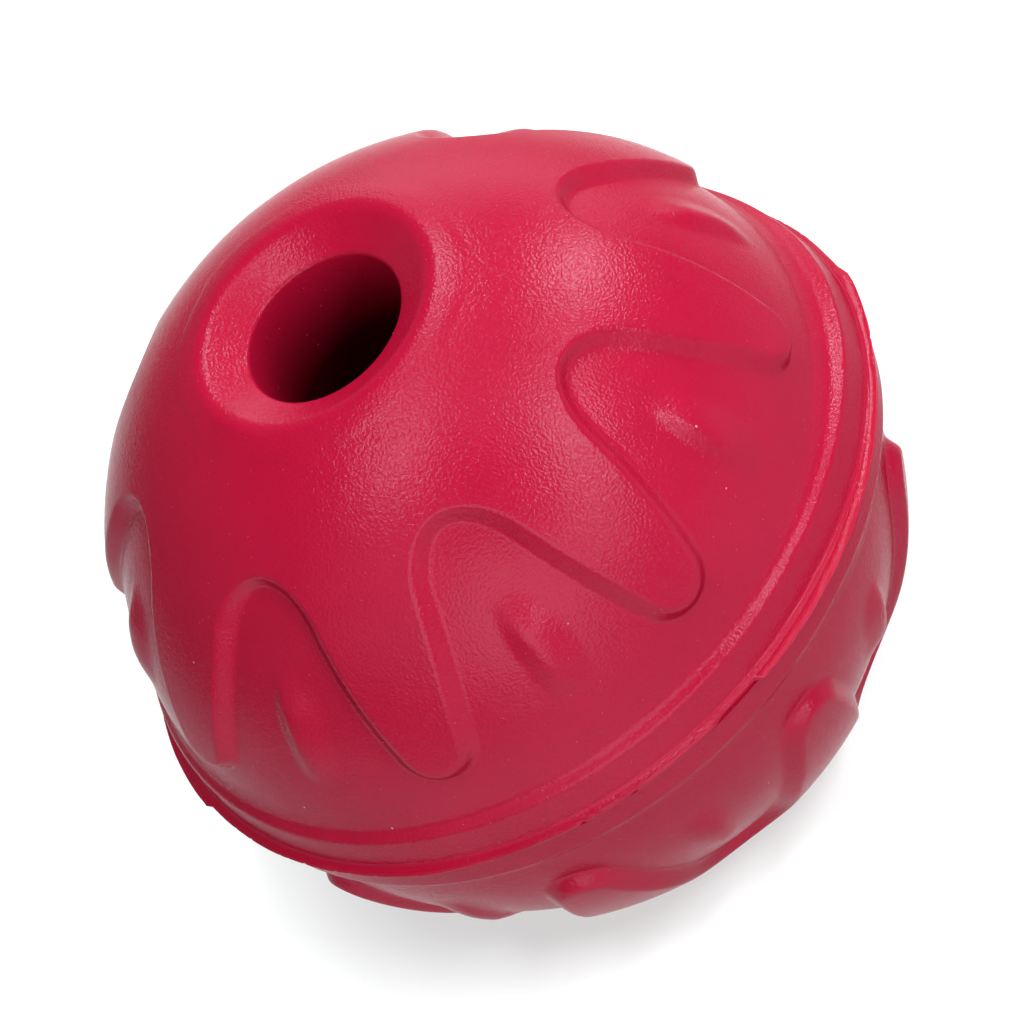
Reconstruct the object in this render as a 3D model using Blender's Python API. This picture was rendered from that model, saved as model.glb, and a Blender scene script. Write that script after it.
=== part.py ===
"""A rubber bouncing ball for a dog, in metres, with +Z up and its resting point at the origin.

Two moulded half shells meet at the equator, with a ring of cured bond between their butt faces.
Both halves have the same relief: a raised layer whose edge runs in a wave of lobes and pockets, a
tear-shaped bump in every pocket, and a ridge, a groove and a lip beside the joint. The upper half
also has the dished mouth and the straight bore that lead to the round treat chamber.
"""

import math

import bmesh
import bpy
from mathutils import Vector

# Ball and chamber
BALL_RADIUS = 0.0400
CHAMBER_RADIUS = 0.0200
RELIEF_DEPTH = 0.0014

# Wave edge of the raised layer, drawn on the unrolled half: azimuth across, angle from the pole down
LOBE_COUNT = 8
CROWN_ANGLE = math.radians(40.0)
CROWN_ARC = math.radians(11.0)
TIP_ANGLE = math.radians(73.7)
TIP_ARC = math.radians(5.7)
STEP_WIDTH = 0.0016

# Bump in each pocket
BUMP_TOP_ANGLE = math.radians(52.5)
BUMP_FOOT_ANGLE = math.radians(72.5)
BUMP_WIDTH = 0.0066
BUMP_HEIGHT = 0.0009
BUMP_PEAK_SHARE = 0.58
BUMP_FLANK_SHARE = 0.70

# Band beside the joint: heights are above the equator
SHOULDER_HEIGHT = 0.0070
RIDGE_HEIGHT = 0.0043
RIDGE_RISE = 0.0008
RIDGE_ROUND = 0.0009
GROOVE_HEIGHT = 0.0026
GROOVE_DROP = 0.0004
GROOVE_ROUND = 0.0012
LIP_HEIGHT = 0.0012
LIP_REACH = 0.0004
LIP_ROUND = 0.0004

# Bond between the halves and the fin squeezed out of it
BOND_THICKNESS = 0.0006
BOND_CLEARANCE = 0.0003
FIN_REACH = 0.0005
FIN_RIPPLE = 0.0003
FIN_EDGE_THICKNESS = 0.0003
FIN_WAVES = ((3, 0.0), (7, 1.0), (11, 2.0))

# Mouth
DISH_RADIUS = 0.0129
DISH_DEPTH = 0.0023
DISH_RIM_ROUND = 0.0024
DISH_MARGIN_ANGLE = math.radians(4.5)
BORE_RADIUS = 0.0085
BORE_EDGE_ROUND = 0.0006
INNER_EDGE_ROUND = 0.0012
INNER_EDGE_MARGIN = 0.0024

# Facets
TIP_STEPS = 3
FLANK_STEPS = 3
CROWN_STEPS = 4
STEP_ROWS = 3
FLOOR_ROWS = 7
CAP_ROWS = 5
CHAMBER_ROWS = 5
POLE_ROWS = 3
ROUND_STEPS = 2
SHARP_ANGLE = math.radians(50.0)

RUBBER_RED = (0.56, 0.014, 0.062, 1.0)
BOND_RED = (0.62, 0.012, 0.045, 1.0)
RUBBER_ROUGHNESS = 0.55
BOND_ROUGHNESS = 0.45

FLOOR_RADIUS = BALL_RADIUS - RELIEF_DEPTH
LIP_RADIUS = BALL_RADIUS + LIP_REACH
BUTT_HEIGHT = BOND_THICKNESS / 2 + BOND_CLEARANCE
PITCH = 2 * math.pi / LOBE_COUNT
EDGE_STEPS = TIP_STEPS + FLANK_STEPS + CROWN_STEPS
COLUMNS = 2 * EDGE_STEPS * LOBE_COUNT
HALF_COLUMNS = COLUMNS // 2
QUARTER_COLUMNS = COLUMNS // 4


def polar(radius, angle, azimuth):
    """The point at a radius, an angle from the pole and an azimuth."""
    across = radius * math.sin(angle)
    return Vector((across * math.cos(azimuth), across * math.sin(azimuth), radius * math.cos(angle)))


def sphere_height(radius, across):
    """The height of a sphere's surface at a distance from its axis, or the other way round."""
    return math.sqrt(radius ** 2 - across ** 2)


def smooth(share):
    """A share from 0 to 1, eased at both ends."""
    return share * share * (3 - 2 * share)


def turned_ring(point, count):
    """A ring of points, turned about the axis from a profile point (distance from the axis, height)."""
    turns = [2 * math.pi * k / count for k in range(count)]
    return [Vector((point.x * math.cos(turn), point.x * math.sin(turn), point.y)) for turn in turns]


def rounded_corner(before, corner, after, radius):
    """Points of the arc that rounds a profile's corner."""
    towards = (before - corner).normalized()
    away = (after - corner).normalized()
    half_angle = math.acos(towards.dot(away)) / 2
    middle = (towards + away).normalized()
    centre = corner + middle * radius / math.sin(half_angle)
    start = corner + towards * radius / math.tan(half_angle) - centre
    end = corner + away * radius / math.tan(half_angle) - centre
    turn = start.angle(end)
    arc = []
    for k in range(ROUND_STEPS + 1):
        share = k / ROUND_STEPS
        weights = math.sin((1 - share) * turn), math.sin(share * turn)
        arc.append(centre + (start * weights[0] + end * weights[1]) / math.sin(turn))
    return arc


def wave_edge():
    """Half a wave, from a lobe's tip to a pocket's crown: each point and the direction into the pocket."""
    crown_arc = min(CROWN_ARC, PITCH / 2 - TIP_ARC)
    tip = Vector((0.0, TIP_ANGLE - TIP_ARC))
    crown = Vector((PITCH / 2, CROWN_ANGLE + crown_arc))
    span = crown - tip
    flank_turn = math.atan2(span.y, span.x) + math.acos((TIP_ARC + crown_arc) / span.length)
    quarter = math.pi / 2

    def facing(turn):
        return Vector((math.cos(turn), math.sin(turn)))

    edge = []
    for k in range(TIP_STEPS + 1):
        normal = facing(quarter + (flank_turn - quarter) * k / TIP_STEPS)
        edge.append((tip + normal * TIP_ARC, normal))
    flank = facing(flank_turn)
    flank_start = tip + flank * TIP_ARC
    flank_end = crown - flank * crown_arc
    for k in range(1, FLANK_STEPS):
        edge.append((flank_start.lerp(flank_end, k / FLANK_STEPS), flank))
    for k in range(CROWN_STEPS + 1):
        normal = facing(flank_turn + (quarter - flank_turn) * k / CROWN_STEPS)
        edge.append((crown - normal * crown_arc, normal))
    return edge


WAVE_EDGE = wave_edge()


def edge_point(column, offset):
    """A column's azimuth and angle from the pole, at an offset from the wave's edge into the pocket."""
    wave, step = divmod(column, 2 * EDGE_STEPS)
    returning = step > EDGE_STEPS
    point, normal = WAVE_EDGE[2 * EDGE_STEPS - step if returning else step]
    angle = point.y + normal.y * offset / BALL_RADIUS
    swing = point.x + normal.x * offset / (BALL_RADIUS * math.sin(point.y))
    return wave * PITCH + (PITCH - swing if returning else swing), angle


def bump_height(azimuth, angle):
    """The height of the nearest pocket's bump above the floor."""
    swing = (azimuth % PITCH - PITCH / 2) * math.sin(angle)
    across = swing * BALL_RADIUS / (BUMP_WIDTH / 2)
    length = BUMP_FOOT_ANGLE - BUMP_TOP_ANGLE
    share = (angle - BUMP_TOP_ANGLE) / length
    reach = BUMP_PEAK_SHARE if share < BUMP_PEAK_SHARE else 1 - BUMP_PEAK_SHARE
    distance = math.hypot(across, (share - BUMP_PEAK_SHARE) / reach)
    climb = (1 - min(distance, 1.0)) / BUMP_FLANK_SHARE
    return BUMP_HEIGHT * smooth(min(climb, 1.0))


def relief_ring(radius, offset, end_angle=0.0, share=0.0, stride=1, bumps=False):
    """A ring along the wave's edge, drawn out by a share of the way to an even circle."""
    ring = []
    for column in range(0, COLUMNS, stride):
        azimuth, angle = edge_point(column, offset)
        azimuth += share * (column * 2 * math.pi / COLUMNS - azimuth)
        angle += share * (end_angle - angle)
        height = bump_height(azimuth, angle) if bumps else 0.0
        ring.append(polar(radius + height, angle, azimuth))
    return ring


def band_rings():
    """The band beside the joint, from the lip's edge up to the shoulder."""
    ridge_radius = sphere_height(FLOOR_RADIUS, RIDGE_HEIGHT) + RIDGE_RISE
    lip_edge = Vector((LIP_RADIUS, BUTT_HEIGHT))
    lip = Vector((LIP_RADIUS, LIP_HEIGHT))
    groove = Vector((ridge_radius - GROOVE_DROP, GROOVE_HEIGHT))
    ridge = Vector((ridge_radius, RIDGE_HEIGHT))
    shoulder = Vector((sphere_height(FLOOR_RADIUS, SHOULDER_HEIGHT), SHOULDER_HEIGHT))
    profile = [lip_edge]
    profile += rounded_corner(lip_edge, lip, groove, LIP_ROUND)
    profile += rounded_corner(lip, groove, ridge, GROOVE_ROUND)
    profile += rounded_corner(groove, ridge, shoulder, RIDGE_ROUND)
    return [turned_ring(point, HALF_COLUMNS) for point in profile]


def relief_rings(end_angle):
    """The floor with its bumps, the step up the wave's edge and the raised layer, up to an angle."""
    shoulder_angle = math.acos(SHOULDER_HEIGHT / FLOOR_RADIUS)
    rings = []
    for row in range(FLOOR_ROWS, 0, -1):
        share = row / FLOOR_ROWS
        rings.append(relief_ring(FLOOR_RADIUS, STEP_WIDTH / 2, shoulder_angle, share, bumps=True))
    for row in range(STEP_ROWS + 1):
        share = row / STEP_ROWS
        radius = FLOOR_RADIUS + smooth(share) * RELIEF_DEPTH
        rings.append(relief_ring(radius, STEP_WIDTH * (0.5 - share)))
    for row in range(1, CAP_ROWS):
        stride = 1 if row < CAP_ROWS / 2 else 2
        rings.append(relief_ring(BALL_RADIUS, -STEP_WIDTH / 2, end_angle, row / CAP_ROWS, stride))
    return rings


def mouth_profile():
    """The mouth from the ball's surface over the dish's rim and down the bore to the chamber."""
    rim = Vector((DISH_RADIUS, sphere_height(BALL_RADIUS, DISH_RADIUS)))
    margin = math.asin(DISH_RADIUS / BALL_RADIUS) + DISH_MARGIN_ANGLE
    surface = Vector((math.sin(margin), math.cos(margin))) * BALL_RADIUS
    bore_edge = Vector((BORE_RADIUS, rim.y - DISH_DEPTH))
    bore_end = Vector((BORE_RADIUS, sphere_height(CHAMBER_RADIUS, BORE_RADIUS)))
    opening = math.asin(BORE_RADIUS / CHAMBER_RADIUS) + INNER_EDGE_MARGIN / CHAMBER_RADIUS
    chamber = Vector((math.sin(opening), math.cos(opening))) * CHAMBER_RADIUS
    profile = [surface]
    profile += rounded_corner(surface, rim, bore_edge, DISH_RIM_ROUND)
    profile += rounded_corner(rim, bore_edge, bore_end, BORE_EDGE_ROUND)
    profile += rounded_corner(bore_edge, bore_end, chamber, INNER_EDGE_ROUND)
    return profile, margin, opening


def chamber_rings(opening):
    """The chamber's wall, from an angle at its pole down to the butt face."""
    end = math.acos(BUTT_HEIGHT / CHAMBER_RADIUS)
    rings = []
    for row in range(1, CHAMBER_ROWS + 1):
        angle = opening + (end - opening) * row / CHAMBER_ROWS
        point = Vector((math.sin(angle), math.cos(angle))) * CHAMBER_RADIUS
        rings.append(turned_ring(point, QUARTER_COLUMNS))
    return rings


def pole_rings(start_angle):
    """The closed pole of the raised layer, down to its middle point."""
    rings = []
    for row in range(POLE_ROWS):
        angle = start_angle * (POLE_ROWS - row) / POLE_ROWS
        point = Vector((math.sin(angle), math.cos(angle))) * BALL_RADIUS
        rings.append(turned_ring(point, QUARTER_COLUMNS))
    return rings + [[Vector((0.0, 0.0, BALL_RADIUS))]]


def bond_rings():
    """The bond's film and its fin, whose reach wanders round the ball, as one closed section."""
    film_edge = BOND_THICKNESS / 2
    fin_edge = FIN_EDGE_THICKNESS / 2
    section = [
        (CHAMBER_RADIUS, film_edge, 0.0),
        (LIP_RADIUS, film_edge, 0.0),
        (LIP_RADIUS + FIN_REACH, fin_edge, FIN_RIPPLE),
        (LIP_RADIUS + FIN_REACH, -fin_edge, FIN_RIPPLE),
        (LIP_RADIUS, -film_edge, 0.0),
        (CHAMBER_RADIUS, -film_edge, 0.0),
    ]
    rings = []
    for across, height, ripple in section:
        ring = []
        for k in range(HALF_COLUMNS):
            azimuth = 2 * math.pi * k / HALF_COLUMNS
            waves = [math.sin(count * azimuth + phase) for count, phase in FIN_WAVES]
            reach = across + ripple * sum(waves) / len(FIN_WAVES)
            ring.append(Vector((reach * math.cos(azimuth), reach * math.sin(azimuth), height)))
        rings.append(ring)
    return rings


def skin(bm, first, second):
    """Faces between two rings, one of which may have half as many points as the other, or only one."""
    if len(first) < len(second):
        first, second = second, first
    count = len(first)
    ratio = count // len(second)
    for k in range(count):
        ahead = (k + 1) % count
        corners = (first[k], first[ahead], second[ahead // ratio], second[k // ratio])
        bm.faces.new(tuple(dict.fromkeys(corners)))


def rubber(name, colour, roughness):
    """A matte rubber material."""
    material = bpy.data.materials.new(name)
    material.use_nodes = True
    shader = material.node_tree.nodes["Principled BSDF"]
    shader.inputs["Base Color"].default_value = colour
    shader.inputs["Roughness"].default_value = roughness
    shader.inputs["Metallic"].default_value = 0.0
    return material


def ring_solid(name, chains, material, centre):
    """A closed solid from chains of rings, whose last ring joins the first."""
    bm = bmesh.new()
    corners = [[[bm.verts.new(point) for point in ring] for ring in chain] for chain in chains]
    for chain in corners:
        for first, second in zip(chain, chain[1:]):
            skin(bm, first, second)
    skin(bm, corners[-1][-1], corners[0][0])
    bmesh.ops.triangulate(bm, faces=bm.faces, quad_method="SHORT_EDGE")
    bmesh.ops.recalc_face_normals(bm, faces=bm.faces)
    mesh = bpy.data.meshes.new(name)
    bm.to_mesh(mesh)
    bm.free()
    mesh.shade_smooth()
    mesh.set_sharp_from_angle(angle=SHARP_ANGLE)
    mesh.materials.append(material)
    solid = bpy.data.objects.new(name, mesh)
    bpy.context.scene.collection.objects.link(solid)
    solid.parent = centre
    return solid


def clear_scene():
    """Remove every object that the scene starts with."""
    for item in list(bpy.data.objects):
        bpy.data.objects.remove(item, do_unlink=True)


def build_ball():
    """The two halves and the bond, placed about the ball's centre."""
    centre = bpy.data.objects.new("ball_centre", None)
    centre.location.z = BALL_RADIUS
    bpy.context.scene.collection.objects.link(centre)
    red = rubber("ball_rubber_red", RUBBER_RED, RUBBER_ROUGHNESS)
    lower_red = rubber("ball_rubber_red_lower", RUBBER_RED, RUBBER_ROUGHNESS)
    bond_red = rubber("bond_red", BOND_RED, BOND_ROUGHNESS)

    profile, margin, opening = mouth_profile()
    outside = band_rings() + relief_rings(margin)
    mouth = [turned_ring(point, QUARTER_COLUMNS) for point in profile]
    ring_solid("upper_half", [outside + mouth + chamber_rings(opening)], red, centre)

    chamber_pole = [[Vector((0.0, 0.0, CHAMBER_RADIUS))]]
    chains = [outside + pole_rings(margin), chamber_pole + chamber_rings(0.0)]
    lower = ring_solid("lower_half", chains, lower_red, centre)
    lower.rotation_euler.x = math.pi

    ring_solid("bond_ring", [bond_rings()], bond_red, centre)


clear_scene()
build_ball()
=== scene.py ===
"""The looks of the bouncing dog ball: fine moulded halves, ragged flash, rubber, studio light and camera."""

import math

import bmesh
import bpy
import numpy as np
from mathutils import Matrix, Vector, noise


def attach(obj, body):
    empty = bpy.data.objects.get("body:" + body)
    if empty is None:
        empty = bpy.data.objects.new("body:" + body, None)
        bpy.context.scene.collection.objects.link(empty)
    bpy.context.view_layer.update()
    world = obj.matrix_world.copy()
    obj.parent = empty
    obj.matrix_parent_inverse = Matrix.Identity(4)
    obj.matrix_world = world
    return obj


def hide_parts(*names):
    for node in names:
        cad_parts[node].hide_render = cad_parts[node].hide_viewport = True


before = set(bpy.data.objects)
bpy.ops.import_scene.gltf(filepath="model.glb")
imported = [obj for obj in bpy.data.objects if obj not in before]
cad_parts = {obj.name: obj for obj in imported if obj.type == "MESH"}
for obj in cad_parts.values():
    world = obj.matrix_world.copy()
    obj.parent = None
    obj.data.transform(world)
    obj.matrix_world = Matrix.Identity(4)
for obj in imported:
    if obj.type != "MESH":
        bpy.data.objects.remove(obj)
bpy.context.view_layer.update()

# Ball and chamber, as in the solids
BALL_RADIUS = 0.0400
CHAMBER_RADIUS = 0.0200
RELIEF_DEPTH = 0.0014
FLOOR_RADIUS = BALL_RADIUS - RELIEF_DEPTH

# Wave edge of the raised layer
LOBE_COUNT = 8
CROWN_ANGLE = math.radians(40.3)
CROWN_ARC = math.radians(11.0)
TIP_ANGLE = math.radians(74.2)
TIP_ARC = math.radians(5.7)
STEP_WIDTH = 0.0017
FLANK_WIDENING = 0.35
PITCH = 2 * math.pi / LOBE_COUNT

# How far the lower half's wave is turned on from the upper one's
LOWER_TURN = math.radians(2.2)

# Bump in each pocket: steep on one side of its crest, gentle on the other, and full towards its foot
BUMP_TOP_ANGLE = math.radians(52.8)
BUMP_FOOT_ANGLE = math.radians(73.5)
BUMP_SHIFT = 0.0002
BUMP_STEEP_WIDTH = 0.0023
BUMP_GENTLE_WIDTH = 0.0042
BUMP_HEIGHT = 0.00085
BUMP_PEAK_SHARE = 0.427
BUMP_FOOT_FULLNESS = 1.8

# Band beside the joint: heights are above the equator
SHOULDER_HEIGHT = 0.0050
RIDGE_HEIGHT = 0.0041
RIDGE_RISE = 0.0009
RIDGE_ROUND = 0.0010
FOOT_ROUND = 0.0016
BAND_TOP_HEIGHT = 0.0066
GROOVE_HEIGHT = 0.0006
GROOVE_LEAN = 0.0003
GROOVE_ROUND = 0.0004
LIP_HEIGHT = 0.00036
LIP_REACH = 0.00025
LIP_RADIUS = BALL_RADIUS + LIP_REACH

# Out of round beside the joint: azimuth in degrees and swelling, and its share at heights of the band
SWELLS = (
    (15.0, 0.0), (25.0, 0.00035), (40.0, 0.00080), (52.0, 0.00125),
    (65.0, 0.00145), (75.0, 0.00120), (84.0, 0.00060), (95.0, 0.0),
)
SWELL_HEIGHTS = (LIP_HEIGHT, GROOVE_HEIGHT, RIDGE_HEIGHT, BAND_TOP_HEIGHT)
SWELL_SHARES = (0.63, 1.0, 0.85, 0.0)

# Bond and its flash: azimuth in degrees and how far the ragged tip stands out from the lip
BOND_THICKNESS = 0.0006
SEAM_GAP = 0.00002
BUTT_HEIGHT = BOND_THICKNESS / 2 + SEAM_GAP
FIN_TIPS = (
    (-100.5, 0.00033), (-70.0, 0.00025), (-60.0, 0.00035), (-40.0, 0.00015), (-10.0, 0.00018),
    (-8.6, -0.00012), (-2.0, -0.00015), (-0.8, 0.00080), (10.0, 0.00097), (25.0, 0.00108),
    (40.0, 0.00125), (52.0, 0.00142), (59.0, 0.00165), (66.5, 0.00192), (68.3, 0.00190),
    (70.5, 0.00145), (74.0, 0.00120), (79.5, 0.00100), (88.0, 0.00048), (96.0, 0.00038),
    (110.0, 0.00030), (118.5, 0.00042), (170.0, 0.00042), (171.5, 0.00020), (195.5, 0.00020),
    (197.0, 0.00065), (213.0, 0.00065), (214.5, 0.00025), (227.5, 0.00030), (229.0, 0.00055),
    (257.0, 0.00072), (258.5, 0.00072),
)
FIN_RAGGED = 0.00016
FIN_LIFT = 0.00010
FIN_TIP_THICKNESS = 0.00011
FIN_INSIDE = 0.0012
FIN_COLUMNS = 1440

# Section of the flash as shares: way out to its tip, taper and lift, and then the rounding of the tip
FIN_TAPERS = ((0.0, 0.0, 0.0), (0.5, 0.5, 0.5), (0.88, 0.9, 0.9))
FIN_TIP_ROUNDING = ((0.97, 0.7), (1.0, 0.0))

# Torn edge of the flash: noise per ball radius, the seeds, and where and how deep it tears and frays
FIN_SLOW_NOISE = 9.0
FIN_QUICK_NOISE = 60.0
FIN_LIFT_NOISE = 14.0
FIN_SLOW_SEED = Vector((5, 1, 2))
FIN_LIFT_SEED = Vector((0, 7, 3))
TEAR_START = 0.18
TEAR_STRETCH = 0.35
TEAR_DEPTH = 3.0
FRAY_DEPTH = 0.25

# Mouth, and the distances from the ball's centre between which painted shade darkens its bore
DISH_RADIUS = 0.0129
DISH_DEPTH = 0.0023
DISH_RIM_ROUND = 0.00245
DISH_MARGIN_ANGLE = math.radians(4.5)
BORE_RADIUS = 0.0085
BORE_EDGE_ROUND = 0.0006
INNER_EDGE_ROUND = 0.0012
INNER_EDGE_MARGIN = 0.0024
BORE_SHADE_START = 0.0375
BORE_SHADE_FULL = 0.0260

# Fineness
TIP_STEPS = 10
FLANK_STEPS = 12
CROWN_STEPS = 14
STEP_ROWS = 10
FLOOR_ROWS = 46
CAP_ROWS = 40
BORE_ROWS = 8
CHAMBER_ROWS = 24
POLE_ROWS = 24
ROUND_STEPS = 8
BAND_STEP = 0.0004
EDGE_STEPS = TIP_STEPS + FLANK_STEPS + CROWN_STEPS
COLUMNS = 2 * EDGE_STEPS * LOBE_COUNT
HALF_COLUMNS = COLUMNS // 2
SHARP_ANGLE = math.radians(50.0)

# Unevenness of the moulded wall: depth and size of each octave, and where each half lies in the noise
WOBBLES = ((0.00005, 0.016), (0.00002, 0.006))
UPPER_SEED = np.array((3.0, 8.0, 1.0))
LOWER_SEED = np.array((11.0, 4.0, 6.0))

# Camera: where the photograph was taken from, in ball radii and degrees
VIEW_DISTANCE = 20.0
VIEW_TILT = math.radians(46.5)
VIEW_AZIMUTH = math.radians(-12.2)
VIEW_ROLL = math.radians(42.9)
IMAGE_SIZE = 1024
BALL_PIXELS = 402.6
BALL_PIXEL_X = 506.4
BALL_PIXEL_Y = 523.3
SENSOR = 36.0
CLIP_START = 0.05
CLIP_END = 20.0

CENTRE = Vector((0.0, 0.0, BALL_RADIUS))


def ease(share):
    """A share from 0 to 1, eased at both ends."""
    return share * share * (3 - 2 * share)


def sphere_height(radius, across):
    """The height of a sphere's surface at a distance from its axis, or the other way round."""
    return math.sqrt(radius ** 2 - across ** 2)


def rounded_corner(before, corner, after, radius):
    """Points of the arc that rounds a profile's corner."""
    towards = (before - corner).normalized()
    away = (after - corner).normalized()
    half_angle = math.acos(towards.dot(away)) / 2
    middle = (towards + away).normalized()
    centre = corner + middle * radius / math.sin(half_angle)
    start = corner + towards * radius / math.tan(half_angle) - centre
    end = corner + away * radius / math.tan(half_angle) - centre
    turn = start.angle(end)
    arc = []
    for k in range(ROUND_STEPS + 1):
        share = k / ROUND_STEPS
        weights = math.sin((1 - share) * turn), math.sin(share * turn)
        arc.append(centre + (start * weights[0] + end * weights[1]) / math.sin(turn))
    return arc


def filled(profile, step):
    """A profile with points added on its long straight runs."""
    points = [profile[0]]
    for point in profile[1:]:
        count = max(1, math.ceil((point - points[-1]).length / step))
        start = points[-1]
        points += [start.lerp(point, k / count) for k in range(1, count + 1)]
    return points


def wave_edge():
    """Half a wave from a lobe's tip to a pocket's crown: azimuth, angle and the direction into the pocket."""
    crown_arc = min(CROWN_ARC, PITCH / 2 - TIP_ARC)
    tip = Vector((0.0, TIP_ANGLE - TIP_ARC))
    crown = Vector((PITCH / 2, CROWN_ANGLE + crown_arc))
    span = crown - tip
    flank_turn = math.atan2(span.y, span.x) + math.acos((TIP_ARC + crown_arc) / span.length)
    quarter = math.pi / 2
    edge = []

    def add(point, turn, reach):
        normal = Vector((math.cos(turn), math.sin(turn)))
        edge.append((*(point + normal * reach), *normal))

    for k in range(TIP_STEPS + 1):
        add(tip, quarter + (flank_turn - quarter) * k / TIP_STEPS, TIP_ARC)
    flank = Vector((math.cos(flank_turn), math.sin(flank_turn)))
    for k in range(1, FLANK_STEPS):
        add((tip + flank * TIP_ARC).lerp(crown - flank * crown_arc, k / FLANK_STEPS), flank_turn, 0.0)
    for k in range(CROWN_STEPS + 1):
        add(crown, flank_turn + (quarter - flank_turn) * k / CROWN_STEPS, -crown_arc)
    return np.array(edge)


def edge_columns():
    """Every column round the ball, as wave_edge gives it for half a wave."""
    half = wave_edge()
    back = half[-2:0:-1] * (-1, 1, -1, 1) + (PITCH, 0, 0, 0)
    wave = np.vstack((half, back))
    return np.vstack([wave + (k * PITCH, 0, 0, 0) for k in range(LOBE_COUNT)])


EDGE = edge_columns()
EVEN = np.arange(COLUMNS) * 2 * math.pi / COLUMNS
WIDENING = 1 + FLANK_WIDENING * EDGE[:, 2] ** 2


def relief_place(offset, end_angle, share):
    """Azimuths and angles of a ring at an offset from the wave's edge, drawn out towards an even circle."""
    reach = offset * WIDENING / BALL_RADIUS
    angle = EDGE[:, 1] + EDGE[:, 3] * reach
    azimuth = EDGE[:, 0] + EDGE[:, 2] * reach / np.sin(EDGE[:, 1])
    return azimuth + share * (EVEN - azimuth), angle + share * (end_angle - angle)


def bump_height(azimuth, angle):
    """The height of the nearest pocket's bump above the floor."""
    swing = (azimuth % PITCH - PITCH / 2) * np.sin(angle) * BALL_RADIUS - BUMP_SHIFT
    across = swing / np.where(swing < 0, BUMP_STEEP_WIDTH, BUMP_GENTLE_WIDTH)
    share = (angle - BUMP_TOP_ANGLE) / (BUMP_FOOT_ANGLE - BUMP_TOP_ANGLE)
    reach = np.where(share < BUMP_PEAK_SHARE, BUMP_PEAK_SHARE, 1 - BUMP_PEAK_SHARE)
    along = np.abs(share - BUMP_PEAK_SHARE) / reach
    distance = np.hypot(across, along ** np.where(share < BUMP_PEAK_SHARE, 1.0, BUMP_FOOT_FULLNESS))
    return BUMP_HEIGHT * ease(np.clip(1 - distance, 0.0, 1.0))


def wobble(directions, seed):
    """How far the moulded wall dips at each direction from the centre."""
    dips = np.zeros(len(directions))
    for depth, size in WOBBLES:
        points = directions * (BALL_RADIUS / size) + seed
        dips += [depth * (noise.noise(point) - 1) for point in points]
    return dips


def polar_ring(radius, azimuth, angle, seed):
    """A ring of points of the outer wall."""
    flat = np.sin(angle)
    ways = np.stack((flat * np.cos(azimuth), flat * np.sin(azimuth), np.cos(angle)), axis=1)
    return ways * (radius + wobble(ways, seed))[:, None]


def turned_ring(point, count):
    """A ring of points, turned about the axis from a profile point (distance from the axis, height)."""
    turns = np.arange(count) * 2 * math.pi / count
    return np.stack((point.x * np.cos(turns), point.x * np.sin(turns), np.full(count, point.y)), axis=1)


def round_joint(table, azimuth):
    """A value from a table of azimuths in degrees, round the joint."""
    places, values = zip(*table)
    return np.interp(np.degrees(azimuth), places, values, period=360)


def band_rings(azimuth):
    """The band beside the joint, from the lip's edge up to the shoulder, with each column's azimuth."""
    ridge_radius = sphere_height(FLOOR_RADIUS, RIDGE_HEIGHT) + RIDGE_RISE
    lip_edge = Vector((LIP_RADIUS, BUTT_HEIGHT))
    lip = Vector((LIP_RADIUS, LIP_HEIGHT))
    groove = Vector((ridge_radius + GROOVE_LEAN, GROOVE_HEIGHT))
    ridge = Vector((ridge_radius, RIDGE_HEIGHT))
    shoulder = Vector((sphere_height(FLOOR_RADIUS, SHOULDER_HEIGHT), SHOULDER_HEIGHT))
    floor = Vector((sphere_height(FLOOR_RADIUS, BAND_TOP_HEIGHT), BAND_TOP_HEIGHT))
    profile = [lip_edge, lip]
    profile += rounded_corner(lip, groove, ridge, GROOVE_ROUND)
    profile += rounded_corner(groove, ridge, shoulder, RIDGE_ROUND)
    profile += rounded_corner(ridge, shoulder, floor, FOOT_ROUND)
    swell = round_joint(SWELLS, azimuth)
    rings = []
    for point in filled(profile, BAND_STEP):
        share = np.interp(point.y, SWELL_HEIGHTS, SWELL_SHARES)
        ring = turned_ring(point, COLUMNS)
        ring[:, :2] *= (1 + share * swell / point.x)[:, None]
        rings.append(ring)
    return rings


def relief_rings(end_angle, seed):
    """The floor with its bumps, the step up the wave's edge and the raised layer, up to an angle."""
    band_angle = math.acos(BAND_TOP_HEIGHT / FLOOR_RADIUS)
    rings = []
    for row in range(FLOOR_ROWS, 0, -1):
        azimuth, angle = relief_place(STEP_WIDTH / 2, band_angle, row / FLOOR_ROWS)
        rings.append(polar_ring(FLOOR_RADIUS + bump_height(azimuth, angle), azimuth, angle, seed))
    for row in range(STEP_ROWS + 1):
        share = row / STEP_ROWS
        azimuth, angle = relief_place(STEP_WIDTH * (0.5 - share), 0.0, 0.0)
        rings.append(polar_ring(FLOOR_RADIUS + ease(share) * RELIEF_DEPTH, azimuth, angle, seed))
    for row in range(1, CAP_ROWS):
        azimuth, angle = relief_place(-STEP_WIDTH / 2, end_angle, row / CAP_ROWS)
        stride = 1 if row < CAP_ROWS / 2 else 2
        rings.append(polar_ring(BALL_RADIUS, azimuth[::stride], angle[::stride], seed))
    return rings


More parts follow.
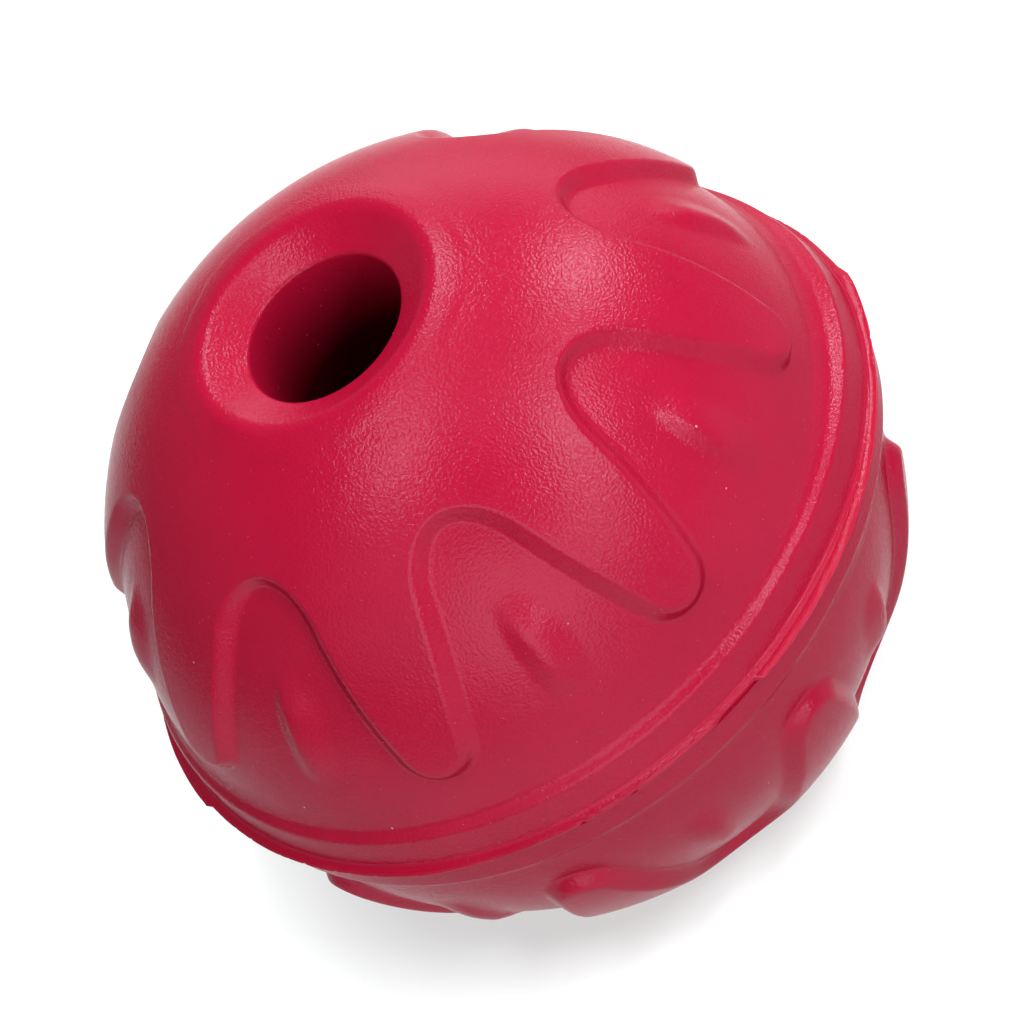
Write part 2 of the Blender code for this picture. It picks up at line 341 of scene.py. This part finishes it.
def mouth_profile():
    """The mouth from the ball's surface over the dish's rim and down the bore to the chamber."""
    rim = Vector((DISH_RADIUS, sphere_height(BALL_RADIUS, DISH_RADIUS)))
    margin = math.asin(DISH_RADIUS / BALL_RADIUS) + DISH_MARGIN_ANGLE
    surface = Vector((math.sin(margin), math.cos(margin))) * BALL_RADIUS
    bore_edge = Vector((BORE_RADIUS, rim.y - DISH_DEPTH))
    bore_end = Vector((BORE_RADIUS, sphere_height(CHAMBER_RADIUS, BORE_RADIUS)))
    opening = math.asin(BORE_RADIUS / CHAMBER_RADIUS) + INNER_EDGE_MARGIN / CHAMBER_RADIUS
    chamber = Vector((math.sin(opening), math.cos(opening))) * CHAMBER_RADIUS
    profile = [surface]
    profile += rounded_corner(surface, rim, bore_edge, DISH_RIM_ROUND)
    profile += rounded_corner(rim, bore_edge, bore_end, BORE_EDGE_ROUND)
    profile += rounded_corner(bore_edge, bore_end, chamber, INNER_EDGE_ROUND)
    return filled(profile, BORE_RADIUS / BORE_ROWS), margin, opening


def chamber_rings(opening):
    """The chamber's wall, from an angle at its pole down to the butt face."""
    end = math.acos(BUTT_HEIGHT / CHAMBER_RADIUS)
    rings = []
    for row in range(1, CHAMBER_ROWS + 1):
        angle = opening + (end - opening) * row / CHAMBER_ROWS
        rings.append(turned_ring(Vector((math.sin(angle), math.cos(angle))) * CHAMBER_RADIUS, HALF_COLUMNS))
    return rings


def pole_rings(start_angle, seed):
    """The closed pole of the raised layer, down to its middle point."""
    rings = []
    for row in range(POLE_ROWS):
        angle = np.full(HALF_COLUMNS, start_angle * (POLE_ROWS - row) / POLE_ROWS)
        rings.append(polar_ring(BALL_RADIUS, EVEN[::2], angle, seed))
    return rings + [polar_ring(BALL_RADIUS, np.zeros(1), np.zeros(1), seed)]


def flash_rings():
    """The bond's film and the ragged flash that it was squeezed into, as one closed section."""
    azimuth = np.arange(FIN_COLUMNS) * 2 * math.pi / FIN_COLUMNS
    places = [Vector((math.cos(turn), math.sin(turn), 0.0)) for turn in azimuth]
    slow = np.array([noise.noise(place * FIN_SLOW_NOISE + FIN_SLOW_SEED) for place in places])
    quick = np.array([noise.noise(place * FIN_QUICK_NOISE) for place in places])
    tears = np.clip(quick - TEAR_START, 0.0, 1.0) * np.clip(slow + TEAR_STRETCH, 0.0, 1.0)
    torn = tears * TEAR_DEPTH + FRAY_DEPTH * (slow + 1)
    lift = np.array([noise.noise(place * FIN_LIFT_NOISE + FIN_LIFT_SEED) for place in places]) * FIN_LIFT
    tip = LIP_RADIUS + round_joint(FIN_TIPS, azimuth) - FIN_RAGGED * torn
    lip = LIP_RADIUS + SWELL_SHARES[0] * round_joint(SWELLS, azimuth)
    root = np.minimum(lip, tip - FIN_TIP_THICKNESS)
    film = BOND_THICKNESS / 2
    thin = FIN_TIP_THICKNESS / BOND_THICKNESS
    section = [(start, 0.0, 1.0, 0.0) for start in (CHAMBER_RADIUS, LIP_RADIUS - FIN_INSIDE)]
    section += [(root, out, 1 - taper + taper * thin, rise) for out, taper, rise in FIN_TAPERS]
    section += [(root, out, share * thin, 1.0) for out, share in FIN_TIP_ROUNDING]
    section += [(start, out, -thick, rise) for start, out, thick, rise in reversed(section[:-1])]
    rings = []
    for start, out, thick, rise in section:
        across = start + out * (tip - start)
        height = thick * film + rise * lift
        rings.append(np.stack((across * np.cos(azimuth), across * np.sin(azimuth), height), axis=1))
    return rings


def skin(first, second):
    """Faces between two rings of vertex numbers, of which one may have half as many, or only one."""
    if len(first) < len(second):
        first, second = second, first
    count = len(first)
    ratio = count // len(second)
    faces = []
    for k in range(count):
        ahead = (k + 1) % count
        corners = (first[k], first[ahead], second[ahead // ratio], second[k // ratio])
        faces.append(tuple(dict.fromkeys(corners)))
    return faces


def ring_solid(name, chains, material, turn=Matrix.Identity(3)):
    """A closed solid from chains of rings, whose last ring joins the first, set about the ball's centre."""
    points = []
    faces = []
    numbered = []
    start = 0
    for chain in chains:
        numbers = []
        for ring in chain:
            numbers.append(range(start, start + len(ring)))
            start += len(ring)
            points.append(ring)
        for first, second in zip(numbers, numbers[1:]):
            faces += skin(first, second)
        numbered.append(numbers)
    faces += skin(numbered[-1][-1], numbered[0][0])
    places = np.vstack(points) @ np.array(turn).T + CENTRE
    mesh = bpy.data.meshes.new(name)
    mesh.from_pydata(places.tolist(), [], faces)
    bm = bmesh.new()
    bm.from_mesh(mesh)
    bmesh.ops.recalc_face_normals(bm, faces=bm.faces)
    bm.to_mesh(mesh)
    bm.free()
    mesh.shade_smooth()
    mesh.set_sharp_from_angle(angle=SHARP_ANGLE)
    mesh.materials.append(material)
    solid = bpy.data.objects.new(name, mesh)
    bpy.context.scene.collection.objects.link(solid)
    return solid


# Colour sockets of a mix node, which has others for its other kinds of data
MIX_FIRST = 6
MIX_SECOND = 7
MIX_RESULT = 2


class Graph:
    """A short way to add linked nodes to a node tree."""

    def __init__(self, tree):
        self.tree = tree
        tree.nodes.clear()

    def add(self, kind, inputs=None, **settings):
        node = self.tree.nodes.new(kind)
        for name, value in settings.items():
            setattr(node, name, value)
        for name, value in (inputs or {}).items():
            if isinstance(value, bpy.types.NodeSocket):
                self.tree.links.new(value, node.inputs[name])
            else:
                node.inputs[name].default_value = value
        return node

    def math(self, operation, first, second=0.0):
        node = self.add("ShaderNodeMath", {0: first, 1: second}, operation=operation)
        return node.outputs[0]

    def vector(self, operation, first, second=(0.0, 0.0, 0.0)):
        return self.add("ShaderNodeVectorMath", {0: first, 1: second}, operation=operation).outputs

    def noise(self, place, scale, detail, roughness):
        inputs = {"Vector": place, "Scale": scale, "Detail": detail, "Roughness": roughness}
        return self.add("ShaderNodeTexNoise", inputs).outputs["Fac"]

    def ramp(self, value, low, high):
        node = self.add("ShaderNodeMapRange", {"Value": value, "From Min": low, "From Max": high})
        return node.outputs["Result"]

    def blend(self, share, first, second):
        inputs = {"Factor": share, MIX_FIRST: first, MIX_SECOND: second}
        return self.add("ShaderNodeMix", inputs, data_type="RGBA").outputs[MIX_RESULT]


# Rubber: deep and pale colour, roughness and how far the pits spread it, and depth of the grain
BALL_COLOURS = ((0.56, 0.006, 0.044, 1.0), (0.60, 0.008, 0.051, 1.0))
BOND_COLOURS = ((0.57, 0.006, 0.041, 1.0), (0.62, 0.008, 0.048, 1.0))
ROUGHNESS = 0.195
ROUGHNESS_SPREAD = 0.10
BALL_GRAIN = 0.00006
BOND_GRAIN = 0.00003

# Noise per mm: the eroded mould's pits, shallow folds with their share, and the bloom with its range
MM = 1000.0
PIT_SCALE = 3.4
FOLD_SCALE = 0.9
FOLD_SHARE = 0.25
BLOOM_SCALE = 0.09
BLOOM_RANGE = (0.30, 0.70)

# Gloss: a low level with a strong tint is as bright from the front and weaker at the rim
RUBBER_IOR = 1.45
GLOSS_LEVEL = 0.02
GLOSS_TINT = (10.6, 15.0, 18.4, 1.0)

# Painted shade darkens the wall of the bore and chamber, and pale specks, partly dust and partly painted
# glints, are given as cells per mm, reach and colour
BORE_SHADE_COLOUR = (0.050, 0.0003, 0.0016, 1.0)
DUST_AND_GLINTS = (
    (0.75, 0.050, (0.70, 0.07, 0.13, 1.0)),
    (0.20, 0.022, (0.86, 0.42, 0.50, 1.0)),
)


def bore_shade_share(graph, spot):
    """Share of painted shade: 1 on the chamber's wall, less up the bore, and 0 outside; spot is in mm."""
    from_centre = graph.vector("SUBTRACT", spot, CENTRE * MM)["Vector"]
    from_axis = graph.vector("MULTIPLY", from_centre, (1.0, 1.0, 0.0))["Vector"]
    axis_reach = graph.vector("LENGTH", from_axis)["Value"]
    reach = graph.vector("LENGTH", from_centre)["Value"]
    deep = graph.ramp(reach, BORE_SHADE_START * MM, BORE_SHADE_FULL * MM)
    bore = graph.math("LESS_THAN", axis_reach, (BORE_RADIUS + BORE_EDGE_ROUND / 2) * MM)
    chamber = graph.math("LESS_THAN", reach, (CHAMBER_RADIUS + INNER_EDGE_ROUND) * MM)
    return graph.math("MULTIPLY", deep, graph.math("MAXIMUM", bore, chamber))


def rubber(name, colours, grain):
    """Moulded rubber: an eroded mould's grain, uneven colour and bloom, and a little dust with painted
    glints.
    """
    material = bpy.data.materials.new(name)
    material.use_nodes = True
    graph = Graph(material.node_tree)
    place = graph.add("ShaderNodeTexCoord").outputs["Object"]
    spot = graph.vector("MULTIPLY", place, (MM, MM, MM))["Vector"]

    pits = graph.noise(spot, PIT_SCALE, detail=1.0, roughness=0.5)
    folds = graph.noise(spot, FOLD_SCALE, detail=1.0, roughness=0.5)
    bloom = graph.noise(spot, BLOOM_SCALE, detail=3.0, roughness=0.6)

    height = graph.math("ADD", pits, graph.math("MULTIPLY", folds, FOLD_SHARE))
    bump = graph.add("ShaderNodeBump", {"Strength": 1.0, "Distance": grain, "Height": height})

    colour = graph.blend(graph.ramp(bloom, *BLOOM_RANGE), *colours)
    # Painted shade: the colour darkens down the bore and on the chamber's wall
    colour = graph.blend(bore_shade_share(graph, spot), colour, BORE_SHADE_COLOUR)
    # Pale specks: partly dust, partly painted glints on the grain
    for scale, reach, pale_speck in DUST_AND_GLINTS:
        cells = graph.add("ShaderNodeTexVoronoi", {"Vector": spot, "Scale": scale, "Randomness": 1.0})
        colour = graph.blend(graph.math("LESS_THAN", cells.outputs["Distance"], reach), colour, pale_speck)

    spread = graph.math("MULTIPLY", pits, ROUGHNESS_SPREAD)
    rough = graph.math("ADD", ROUGHNESS - ROUGHNESS_SPREAD / 2, spread)
    shader = graph.add("ShaderNodeBsdfPrincipled", {
        "Base Color": colour,
        "Roughness": rough,
        "Normal": bump.outputs["Normal"],
        "IOR": RUBBER_IOR,
        "Specular IOR Level": GLOSS_LEVEL,
        "Specular Tint": GLOSS_TINT,
    })
    output = graph.add("ShaderNodeOutputMaterial")
    material.node_tree.links.new(shader.outputs["BSDF"], output.inputs["Surface"])
    return material


def seen_directly(graph):
    """1 for what the camera, a mirror or a glass sees, and 0 for the light that falls on things."""
    path = graph.add("ShaderNodeLightPath").outputs
    seen = graph.math("MAXIMUM", path["Is Camera Ray"], path["Is Glossy Ray"])
    return graph.math("MAXIMUM", seen, path["Is Transmission Ray"])


def view_axes():
    """The photograph's axes in the part's frame: right, up and towards the viewer."""
    facing = Vector((math.cos(VIEW_AZIMUTH), math.sin(VIEW_AZIMUTH), 0.0))
    pole = Vector((0.0, 0.0, 1.0))
    towards = pole * math.cos(VIEW_TILT) + facing * math.sin(VIEW_TILT)
    up = (pole - towards * math.cos(VIEW_TILT)) / math.sin(VIEW_TILT)
    right = up.cross(towards)
    cos_roll, sin_roll = math.cos(VIEW_ROLL), math.sin(VIEW_ROLL)
    return right * cos_roll - up * sin_roll, right * sin_roll + up * cos_roll, towards


RIGHT, UP, TOWARDS = view_axes()


def add_camera():
    """The photograph's camera."""
    data = bpy.data.cameras.new("photo_camera")
    data.sensor_width = SENSOR
    data.lens = SENSOR * BALL_PIXELS * VIEW_DISTANCE / IMAGE_SIZE
    data.clip_start = CLIP_START
    data.clip_end = CLIP_END
    camera = bpy.data.objects.new("photo_camera", data)
    across = (BALL_PIXEL_X - IMAGE_SIZE / 2) / BALL_PIXELS * BALL_RADIUS
    upward = (IMAGE_SIZE / 2 - BALL_PIXEL_Y) / BALL_PIXELS * BALL_RADIUS
    place = CENTRE - RIGHT * across - UP * upward + TOWARDS * VIEW_DISTANCE * BALL_RADIUS
    camera.matrix_world = Matrix.Translation(place) @ Matrix((RIGHT, UP, TOWARDS)).transposed().to_4x4()
    bpy.context.scene.collection.objects.link(camera)
    bpy.context.scene.camera = camera


# Lamps: two ends in the photograph's axes, distance from the ball, width in metres, brightness (1 is white)
LAMPS = (
    ("strip_left_high", (-0.27, 0.96, -0.03), (-0.33, 0.87, 0.36), 1.2, 0.21, 9.9),
    ("strip_left", (-0.33, 0.87, 0.36), (-0.40, 0.53, 0.745), 1.2, 0.21, 2.6),
    ("strip_left_low", (-0.40, 0.53, 0.745), (-0.56, 0.09, 0.82), 1.2, 0.21, 6.5),
    ("strip_right_high", (0.25, 0.97, -0.02), (0.27, 0.89, 0.355), 1.2, 0.21, 11.8),
    ("strip_right", (0.27, 0.89, 0.355), (0.235, 0.60, 0.765), 1.2, 0.21, 2.8),
    ("strip_right_low", (0.235, 0.60, 0.765), (0.36, 0.25, 0.90), 1.2, 0.21, 9.3),
    ("strip_right_foot", (0.36, 0.25, 0.90), (0.49, -0.10, 0.87), 1.2, 0.21, 4.4),
    ("soft_back", (-0.36, 0.75, -0.55), (0.36, 0.75, -0.55), 1.2, 0.90, 2.2),
    ("soft_top", (-0.234, 0.835, 0.49), (0.134, 0.835, 0.49), 1.2, 0.45, 0.3),
    ("soft_front", (-0.184, 0.54, 0.82), (0.184, 0.54, 0.82), 1.2, 0.45, 0.8),
    ("soft_front_left", (-0.75, -0.30, 0.59), (-0.10, -0.35, 0.93), 1.4, 1.10, 0.5),
    ("soft_front_low", (-0.25, -0.40, 0.88), (0.45, -0.40, 0.80), 1.4, 1.10, 1.8),
)

# Surround: even light on things, and what the camera and gloss see level with the ball and overhead
WHITE = (1.0, 1.0, 1.0, 1.0)
AMBIENT = 0.03
SURROUND = 0.38
CEILING = 0.12
CEILING_SINES = (0.42, 0.70)

# The floor glows white where the camera looks, and dims away from there and behind the ball
FLOOR_REACH = 6.0
FLOOR_BOUNCE = (0.135, 0.135, 0.135, 1.0)
FLOOR_SEEN = (0.345, 0.36, 0.36, 1.0)
FLOOR_GLOW = 0.555
GLOW_CENTRE = (-0.075, -0.045, 0.0)
GLOW_REACHES = (0.145, 0.300)
GLOW_SIDE = (0.737, 0.676, 0.0)
GLOW_EDGES = (0.040, 0.100)

# Lamps that light the floor alone, for its compact shadow
FLOOR_KEYS = (
    ("floor_key_left", (-0.245, 0.266, 0.932), (-0.175, 0.266, 0.948), 1.2, 0.40, 125.0),
    ("floor_key_right", (0.070, 0.252, 0.965), (0.140, 0.252, 0.957), 1.2, 0.35, 148.0),
)


def add_lamp(name, start, end, distance, width, brightness):
    """A strip light or a soft box, laid along its arc round the ball."""
    ends = [(RIGHT * way[0] + UP * way[1] + TOWARDS * way[2]).normalized() for way in (start, end)]
    towards = (ends[0] + ends[1]).normalized()
    along = (ends[1] - ends[0]).normalized()
    data = bpy.data.lights.new(name, "AREA")
    data.shape = "RECTANGLE"
    data.size = 2 * distance * math.tan(ends[0].angle(ends[1]) / 2)
    data.size_y = width
    data.energy = brightness * math.pi * data.size * data.size_y
    lamp = bpy.data.objects.new(name, data)
    turn = Matrix((along, towards.cross(along), towards)).transposed().to_4x4()
    lamp.matrix_world = Matrix.Translation(CENTRE + towards * distance) @ turn
    bpy.context.scene.collection.objects.link(lamp)
    return lamp


def add_world():
    """A pale surround with a dim ceiling for the camera and for gloss, and even dim light from all sides."""
    world = bpy.data.worlds.new("studio")
    world.use_nodes = True
    graph = Graph(world.node_tree)
    way = graph.add("ShaderNodeTexCoord").outputs["Generated"]
    sine = graph.add("ShaderNodeSeparateXYZ", {"Vector": way}).outputs["Z"]
    shade = graph.add("ShaderNodeMapRange", {
        "Value": sine,
        "From Min": CEILING_SINES[0],
        "From Max": CEILING_SINES[1],
        "To Min": SURROUND,
        "To Max": CEILING,
    }, interpolation_type="SMOOTHSTEP").outputs["Result"]
    light = graph.add("ShaderNodeBackground", {"Color": WHITE, "Strength": AMBIENT})
    white = graph.add("ShaderNodeBackground", {"Color": WHITE, "Strength": shade})
    seen = seen_directly(graph)
    mixed = graph.add("ShaderNodeMixShader", {0: seen, 1: light.outputs[0], 2: white.outputs[0]})
    output = graph.add("ShaderNodeOutputWorld")
    world.node_tree.links.new(mixed.outputs[0], output.inputs["Surface"])
    bpy.context.scene.world = world


def add_floor():
    """A pale floor that looks white and keeps the ball's shadow."""
    mesh = bpy.data.meshes.new("floor")
    corners = [(x * FLOOR_REACH, y * FLOOR_REACH, 0.0) for x, y in ((-1, -1), (1, -1), (1, 1), (-1, 1))]
    mesh.from_pydata(corners, [], [(0, 1, 2, 3)])
    floor = bpy.data.objects.new("floor", mesh)
    bpy.context.scene.collection.objects.link(floor)
    material = bpy.data.materials.new("floor_white")
    material.use_nodes = True
    graph = Graph(material.node_tree)
    pale = graph.add("ShaderNodeBsdfDiffuse", {"Color": FLOOR_BOUNCE})
    shaded = graph.add("ShaderNodeBsdfDiffuse", {"Color": FLOOR_SEEN})
    place = graph.add("ShaderNodeTexCoord").outputs["Object"]
    away = graph.vector("DISTANCE", place, GLOW_CENTRE)["Value"]
    aside = graph.vector("DOT_PRODUCT", place, GLOW_SIDE)["Value"]
    fades = []
    for value, (start, end) in ((away, GLOW_REACHES), (aside, GLOW_EDGES)):
        fades.append(graph.add("ShaderNodeMapRange", {
            "Value": value,
            "From Min": start,
            "From Max": end,
            "To Min": 1.0,
            "To Max": 0.0,
        }, interpolation_type="SMOOTHSTEP").outputs["Result"])
    strength = graph.math("MULTIPLY", graph.math("MULTIPLY", *fades), FLOOR_GLOW)
    glow = graph.add("ShaderNodeEmission", {"Color": WHITE, "Strength": strength})
    white = graph.add("ShaderNodeAddShader", {0: shaded.outputs[0], 1: glow.outputs[0]})
    seen = seen_directly(graph)
    mixed = graph.add("ShaderNodeMixShader", {0: seen, 1: pale.outputs[0], 2: white.outputs[0]})
    output = graph.add("ShaderNodeOutputMaterial")
    material.node_tree.links.new(mixed.outputs[0], output.inputs["Surface"])
    mesh.materials.append(material)
    lit = bpy.data.collections.new("lit_by_floor_keys")
    lit.objects.link(floor)
    for key_values in FLOOR_KEYS:
        add_lamp(*key_values).light_linking.receiver_collection = lit


def add_ball():
    """The two halves and the flash, in place of their solids."""
    red = rubber("ball_rubber_red", BALL_COLOURS, BALL_GRAIN)
    bond = rubber("bond_red", BOND_COLOURS, BOND_GRAIN)
    profile, margin, opening = mouth_profile()
    mouth = [turned_ring(point, HALF_COLUMNS) for point in profile]
    outside = band_rings(EVEN) + relief_rings(margin, UPPER_SEED)
    upper = ring_solid("upper_half_fine", [outside + mouth + chamber_rings(opening)], red)
    outside = band_rings(LOWER_TURN - EVEN) + relief_rings(margin, LOWER_SEED)
    outside += pole_rings(margin, LOWER_SEED)
    chamber_pole = [np.array(((0.0, 0.0, CHAMBER_RADIUS),))]
    turn = Matrix.Rotation(LOWER_TURN, 3, "Z") @ Matrix.Rotation(math.pi, 3, "X")
    lower = ring_solid("lower_half_fine", [outside, chamber_pole + chamber_rings(0.0)], red, turn)
    flash = ring_solid("bond_ring_fine", [flash_rings()], bond)
    for piece, node, slot in (
        (upper, "upper_half", "ball_rubber"),
        (lower, "lower_half", "ball_rubber"),
        (flash, "bond_ring", "bond_rubber"),
    ):
        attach(piece, "root")
        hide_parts(node)


add_camera()
add_ball()
add_floor()
for lamp_values in LAMPS:
    add_lamp(*lamp_values)
add_world()
bpy.context.scene.view_settings.view_transform = "Standard"
